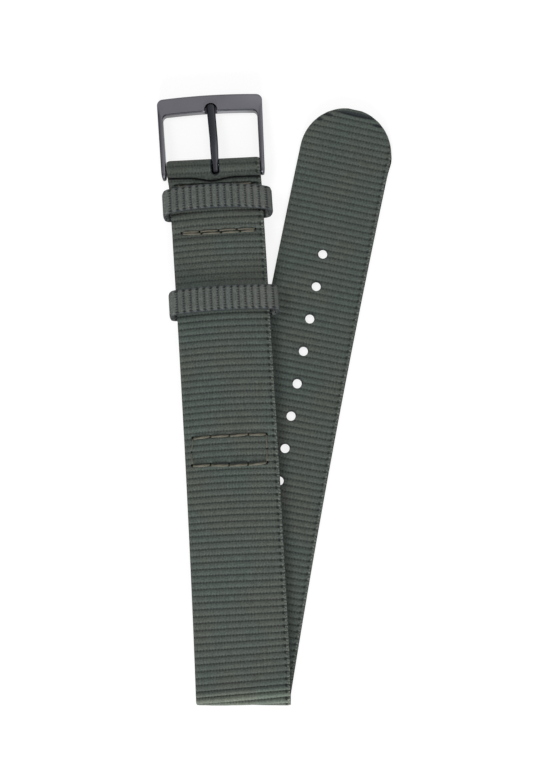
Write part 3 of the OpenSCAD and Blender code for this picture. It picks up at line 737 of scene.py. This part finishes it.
fixed_middle = ring_middle(at=8.3, skew=0.018, shift=0.38, level=4.7, slope=2.07, lean=1.1,
                           arch=1.1, tilt=12, sag=0.85)
sliding_middle = ring_middle(at=29.7, skew=0.0, shift=0.5, level=4.9, slope=0, lean=1.1,
                             arch=0.5, tilt=10, sag=0.6)
keeper_webbing = webbing_finish(
    "keeper_webbing", KEEPER_W, KEEPER_ROUND, both_edges=True, Rib_Pitch=KEEPER_RIB, Yarn=0.27,
    Scallop=0.12, Spread=1.2, Sunk=1.5, Selvedge=KEEPER_W / 2 - 0.5, Edge_Width=0.5,
    Cool=(0.125, 0.147, 0.136, 1), Warm=(0.136, 0.146, 0.133, 1),
    Groove=(0.012, 0.015, 0.016, 1), Edge=(0.07, 0.085, 0.11, 1))
for name, node, body, middle in (
        ("fixed_keeper_band", "fixed_keeper", "front", fixed_middle),
        ("sliding_keeper_band", "sliding_keeper", "sliding_keeper", sliding_middle)):
    keeper = woven_flat(name, KEEPER_W, KEEPER_RIB, 0, KEEPER_ROUND, 16)
    shaped(keeper, middle, KEEPER_W, KEEPER_ROUND, KEEPER_RIB, KEEPER_HALF_T,
           KEEPER_RIB_DEPTH)
    finished(keeper, keeper_webbing)
    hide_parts(node)
    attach(keeper, body)

# The sewing: lockstitches of two-ply thread that run through the needle holes, one side on the
# outer layer and one on the return layer, and a few stitches that close each keeper's ring.
PLY, FINE_PLY, TWIST = 0.19, 0.08, 5.5

# Where a stitch starts inside its hole, how far down, and how steeply it comes out.
INSET, HOLE_DEPTH, STEEP = 0.27, 0.7, 0.4


def over(level, rise, sag=0.0, drop=0.0):
    """The rule of a stitch from first to last (u, v): out of its hole, along and down."""
    def between(first, last):
        def rule(t):
            turn = np.pi * (1 - t)
            along = (1 + np.sign(np.cos(turn)) * np.abs(np.cos(turn)) ** STEEP) / 2
            swell = np.sin(np.pi * t)
            inset = INSET / math.dist(first, last)
            along = inset + (1 - 2 * inset) * along
            u = first[0] + (last[0] - first[0]) * along
            v = first[1] + (last[1] - first[1]) * along + sag * swell + drop * (1 - along)
            lift = np.sign(rise) * ((HOLE_DEPTH + abs(rise)) * swell ** STEEP - HOLE_DEPTH)
            return on_front(u, v, level(v) + lift)
        return rule
    return between


def sewn(name, stitches, ply):
    """Two plies of radius ply, twisted along each stitch's rule, as a mesh."""
    thread = bpy.data.curves.new(name, "CURVE")
    thread.dimensions, thread.bevel_depth, thread.bevel_resolution = "3D", ply * MM, 2
    thread.use_fill_caps = True
    for rule in stitches:
        middle = rule(np.linspace(0, 1, 601))
        run = np.append(0, np.cumsum(np.linalg.norm(np.diff(middle, axis=0), axis=1)))
        even = np.linspace(0, run[-1], 61)
        middle = np.stack([np.interp(even, run, axis) for axis in middle.T], -1)
        ahead = np.gradient(middle, axis=0)
        run = np.cumsum(np.linalg.norm(ahead, axis=1))
        ahead /= np.linalg.norm(ahead, axis=1)[:, None]
        aside = np.cross(middle[-1] - middle[0], (0, 0, 1.0))
        aside /= np.linalg.norm(aside)
        lift = np.cross(aside, ahead)
        for half in (0, math.pi):
            turn = (2 * np.pi * run / TWIST + half)[:, None]
            line = middle + 0.4 * ply * (aside * np.cos(turn) + lift * np.sin(turn))
            spline = thread.splines.new("POLY")
            spline.points.add(len(line) - 1)
            spline.points.foreach_set(
                "co", np.hstack([line * MM, np.ones((len(line), 1))]).ravel())
    drawn = bpy.data.objects.new(name + "_line", thread)
    scene.collection.objects.link(drawn)
    graph = bpy.context.evaluated_depsgraph_get()
    made = bpy.data.objects.new(name, bpy.data.meshes.new_from_object(drawn.evaluated_get(graph)))
    made.data.name = name
    scene.collection.objects.link(made)
    bpy.data.objects.remove(drawn)
    return made


def chain(rule, holes):
    """A stitch from each hole to the next."""
    return [rule(first, last) for first, last in zip(holes, holes[1:])]


def top_of_leg(v):
    """Height of the outer layer's face at v."""
    return outer_mid(v) + HALF_T


def under_leg(v):
    """Height of the return layer's underside at v."""
    return outer_mid(v) - 3 * HALF_T - layer_gap(v)


on_top, below = over(top_of_leg, 0.12, sag=0.1, drop=0.14), over(under_leg, -0.12)
along_side, across_row = over(top_of_leg, 0.1), over(top_of_leg, 0.04)
in_furrow = over(top_of_leg, -0.14)
box_left = [BOX_TOP[0], BOX_SIDES[0], BOX_LOW[0]]
box_right = [BOX_TOP[-1], BOX_SIDES[1], BOX_LOW[-1]]
seams = (
    ("box_stitches", "box_seam", PLY,
     chain(on_top, BOX_TOP) + chain(on_top, BOX_LOW) + chain(below, BOX_TOP)
     + chain(below, BOX_LOW) + chain(below, box_left) + chain(below, box_right)),
    ("box_side_stitches", "box_seam", FINE_PLY,
     chain(along_side, box_left) + chain(along_side, box_right)),
    ("keeper_stitches", "keeper_seam", 0.15,
     chain(across_row, KEEPER_ROW) + chain(across_row, KEEPER_ROW_LOW)
     + chain(below, KEEPER_ROW)),
    ("loop_stitches", "loop_seam", 0.13, chain(in_furrow, LOOP_ROW) + chain(below, LOOP_ROW)))
thread_finish, tree = new_material("thread")
where = wired(tree, "ShaderNodeTexCoord").outputs["Object"]
fuzz = wired(tree, "ShaderNodeTexNoise", Vector=where, Scale=9000.0, Detail=3.0).outputs[0]
blotch = wired(tree, "ShaderNodeTexNoise", Vector=where, Scale=900.0).outputs[0]
dyed = tint(tree, blotch, (0.107, 0.100, 0.070, 1), (0.164, 0.156, 0.117, 1))
dyed = tint(tree, calc(tree, "MULTIPLY", fuzz, 0.5), dyed, (0.05, 0.046, 0.036, 1))
bump = wired(tree, "ShaderNodeBump", Strength=0.6, Distance=0.03 * MM, Height=fuzz)
yarn = wired(tree, "ShaderNodeBsdfPrincipled", Base_Color=dyed, Roughness=0.7,
             Normal=bump.outputs[0])
wired(tree, "ShaderNodeOutputMaterial", Surface=yarn.outputs[0])
for name, node, ply, stitches in seams:
    seam = sewn(name, stitches, ply)
    finished(seam, thread_finish, 80)
    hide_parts(node)
    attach(seam, "front")


def closing(middle, side):
    """The rule of a stitch across a keeper's butt joint; side is -1 below and 1 above."""
    def between(first, last):
        def rule(t):
            along, swell = (1 - np.cos(np.pi * t)) / 2, np.sin(np.pi * t)
            w = first[0] + (last[0] - first[0]) * along
            place = middle(w, first[1] + (last[1] - first[1]) * along)
            place[:, 2] += side * (0.3 * swell ** STEEP + 0.02)
            return place
        return rule
    return between


for name, node, body, middle in (
        ("fixed_keeper_stitches", "fixed_keeper_seam", "front", fixed_middle),
        ("sliding_keeper_stitches", "sliding_keeper_seam", "sliding_keeper", sliding_middle)):
    crossings = [(w, side * 1.1) for w in (-2, -0.7, 0.7, 2) for side in (-1, 1)]
    both_faces = chain(closing(middle, -1), crossings) + chain(closing(middle, 1), crossings)
    closed = sewn(name, both_faces, FINE_PLY)
    finished(closed, thread_finish, 80)
    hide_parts(node)
    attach(closed, body)

# The buckle frame: one satin steel piece, flat across the top and round-cornered, whose arms
# deepen towards the bar and end in round ears. The crossbar has a pocket for the tang's tip.
FRAME_HALF, WINDOW_HALF, REACH, WINDOW_REACH, EAR = 11.3, 10.24, 16.4, 12.7, 1.75
CROSS_HALF_T, BOW_R, FRAME_SHIFT = 1.15, 145.0, -0.25
BAR_AT, BUCKLE_TURN, HANG = (-13.144, 50.025, BAR_Z), 3.5, 4.594
BUCKLE_AT = (Matrix.Translation(Vector(BAR_AT) * MM)
             @ Matrix.Rotation(math.radians(BUCKLE_TURN), 4, "Z")
             @ Matrix.Rotation(math.radians(-HANG), 4, "X"))


def swept(name, stations, place, edge_tone):
    """A closed form: place gives the ring of section points, in millimetres, at a station, and
    the last argument how much lighter (1) or darker (-1) than the face each point is painted, as
    a painted highlight or painted shade that stands in for reflections."""
    rings = np.array([place(station) for station in stations])
    bm = bmesh.new()
    tones = bm.verts.layers.float.new("edge_tone")
    bmesh.ops.create_grid(bm, x_segments=len(rings) - 1, y_segments=rings.shape[1], size=1)
    for vert in bm.verts:
        i = round((vert.co.x + 1) / 2 * (len(rings) - 1))
        j = round((vert.co.y + 1) / 2 * rings.shape[1]) % rings.shape[1]
        vert.co = rings[i, j] * MM
        vert[tones] = edge_tone(i, j)
    bmesh.ops.remove_doubles(bm, verts=bm.verts, dist=0.002 * MM)
    bmesh.ops.recalc_face_normals(bm, faces=bm.faces)
    return new_piece(name, bm)


def rounded_section(half_w, half_h, radii):
    """Section points round a rectangle with its own radius at each corner, from high outside."""
    points = []
    for corner, (side_x, side_z, start) in enumerate(((1, 1, 0), (-1, 1, 90), (-1, -1, 180),
                                                      (1, -1, 270))):
        r = max(min(radii[corner], 0.96 * half_w, 0.96 * half_h), 1e-4)
        for angle in range(start, start + 91, 15):
            points.append((side_x * (half_w - r) + r * math.cos(math.radians(angle)),
                           side_z * (half_h - r) + r * math.sin(math.radians(angle))))
        if corner in (0, 2):
            support = side_x * (half_w - r) - side_x * min(0.1, half_w - r)
            points.append((support, side_z * half_h))
        else:
            support = side_z * (half_h - r) - side_z * min(0.1, half_h - r)
            points.append((side_x * half_w, support))
    return points


def u_shape(half_w, reach, corner):
    """Plan points up one arm, round the corner, along the bowed crossbar and down again."""
    drop = (half_w - corner) ** 2 / (2 * BOW_R)
    centre = reach - drop - corner
    foot = [-EAR * math.cos(math.pi / 2 * i / 9) for i in range(9)]
    arm = [(-half_w, y) for y in foot + list(np.linspace(0, centre, 12))]
    bend = [(-half_w + corner - corner * math.cos(a), centre + corner * math.sin(a))
            for a in np.linspace(0, math.pi / 2, 9)[1:]]
    bar = [(x, reach - x ** 2 / (2 * BOW_R)) for x in np.linspace(corner - half_w, 0, 12)[1:]]
    left = arm + bend + bar
    return np.array(left + [(-x, y) for x, y in left[-2::-1]])


plan_outer = u_shape(FRAME_HALF, REACH, 1.35)
plan_inner = u_shape(WINDOW_HALF, WINDOW_REACH, 1.0)
# The arms stand a little wider apart at the crossbar than at the spring bar.
for plan, flare in ((plan_outer, 0.08), (plan_inner, 0)):
    plan[:, 0] *= 0.993 + (0.017 + flare / FRAME_HALF) * plan[:, 1] / REACH
    plan[:, 0] += flare * plan[:, 1] / REACH


def frame_ring(i):
    """Section points across the frame at station i of its plan."""
    outer, inner = plan_outer[i], plan_inner[i]
    middle, across = (outer + inner) / 2, outer - inner
    half_w = math.hypot(*across) / 2
    across = across / (2 * half_w)
    y = middle[1]
    half_h = np.interp(y, (0, WINDOW_REACH), (EAR, CROSS_HALF_T))
    if y < 0:
        half_h = math.sqrt(max(EAR ** 2 - y ** 2, 0))
        half_w *= max(half_h / EAR, 0) ** 0.6
    lip = np.interp(y, (8, 13), (0.3, 0.32))
    section = rounded_section(half_w, half_h, (0.4, lip, 0.3, 0.3))
    return [(middle[0] + across[0] * x + FRAME_SHIFT, middle[1] + across[1] * x, z)
            for x, z in section]


def frame_tone(i, j):
    """Painted reflections: an arm is dark to the left and lighter to the right. The crossbar
    lightens to the right, and in the window has a dark line, under it a wall painted as a
    highlight, and a dark lower edge."""
    x, y = (plan_outer[i] + plan_inner[i]) / 2
    bar = np.clip((y - 12) / 1.5, 0, 1)
    bright = np.interp(x, (-9, -2, 2, 8, 10), (0.1, 0.35, 0.9, 0.7, 0.1))
    top = np.interp(x, (-9, 2, 6, 9), (0.06, 0.06, 0.1, 0.18))
    ring, _, heights = zip(*frame_ring(i))
    across = 2 * (ring[j] - min(ring)) / max(max(ring) - min(ring), 0.5) - 1
    upper_edge = np.interp(max(heights) - heights[j], (0.2, 0.38), (1, 0))
    arm_tone = np.interp(across, (-1, -0.5, -0.1, 0.3, 0.8, 1),
                         (-0.72, -0.62, -0.17, 0.1, 0.16, 0.06)) * upper_edge
    bar_tone = np.interp(j, (7, 8, 9, 13, 14, 16, 17, 18, 19),
                         (top, 0, -0.73, -0.73, bright, bright, -0.81, -0.81, top))
    return float(arm_tone + (bar_tone - arm_tone) * bar)


frame_body = swept("frame_body", range(len(plan_outer)), frame_ring, frame_tone)

# The pocket for the tang's tip, and blind holes for the spring bar's ends.
NOTCH_R, NOTCH_AT, NOTCH_FLOOR, NOTCH_TALL, BAR_HOLE_R = 1.42, 13.15, -0.7, 4, 0.38
bm = bmesh.new()
bmesh.ops.create_cone(bm, cap_ends=True, segments=40, radius1=NOTCH_R * MM, radius2=NOTCH_R * MM,
                      depth=NOTCH_TALL * MM, matrix=Matrix.Translation(
                          Vector((0, NOTCH_AT, NOTCH_FLOOR + NOTCH_TALL / 2)) * MM))
for side in (-1, 1):
    bmesh.ops.create_cone(
        bm, cap_ends=True, segments=24, radius1=BAR_HOLE_R * MM, radius2=BAR_HOLE_R * MM,
        depth=1.5 * MM,
        matrix=Matrix.Translation(Vector((side * WINDOW_HALF + FRAME_SHIFT, 0, 0)) * MM)
        @ Matrix.Rotation(math.pi / 2, 4, "Y"))
cut_away(frame_body, bm)

# Satin steel for the frame, the tang and the spring bar: a tone stored on its vertices paints
# highlights and shade, lighter or darker than its flat faces, in place of reflections.
LIGHT_TONE, DARK_TONE = (0.30, 0.30, 0.33, 1), (0.006, 0.007, 0.010, 1)
satin, given = node_group("satin_metal", {
    "Place": "Vector", "Base": "Color", "Sheen Tone": "Color", "Roughness": "Float",
    "Edge Tone": "Float"}, {"Color": "Color", "Roughness": "Float", "Height": "Float"})
grain = wired(satin, "ShaderNodeTexNoise", Vector=given["Place"], Scale=5200.0,
              Detail=4.0).outputs[0]
cloud = wired(satin, "ShaderNodeTexNoise", Vector=given["Place"], Scale=160.0,
              Detail=2.0).outputs[0]
rough = calc(satin, "ADD", given["Roughness"], calc(
    satin, "MULTIPLY", calc(satin, "SUBTRACT", grain, 0.5), 0.12))
polish = tint(satin, cloud, given["Base"], given["Sheen Tone"])
# Painted highlights and painted shade from the vertex tone, in place of reflections.
polish = tint(satin, calc(satin, "MAXIMUM", given["Edge Tone"], 0.0), polish, LIGHT_TONE)
darker = calc(satin, "MULTIPLY", given["Edge Tone"], -1.0)
polish = tint(satin, calc(satin, "MAXIMUM", darker, 0.0), polish, DARK_TONE)
close_group(satin, Color=polish, Roughness=rough, Height=grain)


def metal_finish(name, base, tone, roughness):
    """Satin metal: even colour with slow clouds, a fine grain, its own roughness, and the painted
    reflections stored on its vertices.
    """
    made, tree = new_material(name)
    where = wired(tree, "ShaderNodeTexCoord").outputs["Object"]
    edge = wired(tree, "ShaderNodeAttribute", {"attribute_name": "edge_tone"}).outputs["Fac"]
    cover = wired(tree, "ShaderNodeGroup", {"node_tree": satin}, Place=where, Base=base,
                  Sheen_Tone=tone, Roughness=roughness, Edge_Tone=edge)
    bump = wired(tree, "ShaderNodeBump", Strength=0.15, Distance=0.01 * MM,
                 Height=cover.outputs["Height"])
    metal = wired(tree, "ShaderNodeBsdfPrincipled", Base_Color=cover.outputs["Color"],
                  Roughness=cover.outputs["Roughness"], Normal=bump.outputs[0])
    metal.inputs["Metallic"].default_value = 1.0
    wired(tree, "ShaderNodeOutputMaterial", Surface=metal.outputs[0])
    return made


frame_body.data.transform(BUCKLE_AT)
finished(frame_body, metal_finish("frame_metal", (0.089, 0.088, 0.100, 1),
                                  (0.111, 0.110, 0.124, 1), 0.38), 40)
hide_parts("buckle_frame")
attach(frame_body, "frame")

# The tang: a darker steel strip with rounded edges, rolled into an eye round the spring bar.
# Its tip lies in the crossbar's pocket, flush with the face.
TANG_TIP, TANG_MID, EYE_MID, EYE_HALF_T, EYE_TURN = 14.55, 0.6, 1.085, 0.305, 262
start_angle = math.atan2(TANG_MID, TANG_TIP) + math.acos(EYE_MID / math.hypot(TANG_TIP, TANG_MID))
touch_y, touch_z = EYE_MID * math.cos(start_angle), EYE_MID * math.sin(start_angle)


def tang_ring(t):
    """Stations 0 to 1 run down the shank from the tip, and 1 to 2 round the bar."""
    if t <= 1:
        back_y, back_z = touch_y - TANG_TIP, touch_z - TANG_MID
        y, z = TANG_TIP + back_y * t, TANG_MID + back_z * t
        size = math.hypot(back_y, back_z)
        up = (back_z / size, -back_y / size)
    else:
        angle = start_angle + (t - 1) * math.radians(EYE_TURN)
        y, z = EYE_MID * math.cos(angle), EYE_MID * math.sin(angle)
        up = (math.cos(angle), math.sin(angle))
    from_tip = (TANG_TIP - y) if t <= 1 else 20
    nose = math.sqrt(max(1 - (1 - min(from_tip / 0.9, 1)) ** 2, 0))
    half_w = np.interp(from_tip, (0, 10.3, 12.5, 14), (0.93, 0.88, 0.8, 0.69)) * nose
    half_t = np.interp(from_tip, (0, 9, 14), (0.55, 0.5, EYE_HALF_T))
    half_t = min(half_t, 0.3 + from_tip * 0.6)
    section = rounded_section(half_w, half_t, (0.42, 0.42, 0.3, 0.3))
    aside = 0.034 * min(from_tip, 8)
    return [(x + aside, y + up[0] * h, z + up[1] * h) for x, h in section]


stations = ([0.0001, 0.001, 0.004, 0.009, 0.017, 0.028, 0.04, 0.052, 0.065]
            + list(np.linspace(0.09, 1, 24)) + list(np.linspace(1, 2, 40)[1:]))


def tang_tone(i, j):
    """The tang's painted reflection across its width: dark to the left, lighter to the right and
    where it dips to the bar."""
    ring = [x for x, y, z in tang_ring(stations[i])]
    x = 2 * (ring[j] - min(ring)) / (max(ring) - min(ring)) - 1
    across = (-1, -0.75, -0.5, -0.1, 0.2, 0.7, 0.95, 1)
    upper = np.interp(x, across, (-0.95, -0.85, -0.4, -0.25, 0, 0.04, -0.1, -0.3))
    lower = np.interp(x, across, (-0.9, -0.6, -0.2, 0.07, 0.12, 0.12, 0.08, -0.1))
    dip = np.interp(stations[i], (0.5, 0.7), (0, 1))
    return float((upper + (lower - upper) * dip) * np.interp(stations[i], (1, 1.2), (1, 0)))


tang_body = swept("tang_body", stations, tang_ring, tang_tone)

# Both ends of the strip are closed.
bm = bmesh.new()
bm.from_mesh(tang_body.data)
bmesh.ops.holes_fill(bm, edges=[e for e in bm.edges if e.is_boundary])
bmesh.ops.recalc_face_normals(bm, faces=bm.faces)
bm.to_mesh(tang_body.data)
bm.free()
tang_body.data.transform(BUCKLE_AT)
finished(tang_body, metal_finish("tang_metal", (0.028, 0.030, 0.037, 1),
                                 (0.045, 0.045, 0.049, 1), 0.36), 40)
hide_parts("tang")
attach(tang_body, "tang")

# The spring bar: black-coated steel inside the webbing's loop. Its CAD parts have their true
# shape, so only their finish is made here.
bar_steel = metal_finish("bar_steel", (0.020, 0.020, 0.023, 1), (0.032, 0.031, 0.034, 1), 0.42)
for node in ("bar_tube", "bar_plunger_left", "bar_plunger_right", "bar_spring"):
    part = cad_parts[node]
    finished(part, bar_steel, 40)
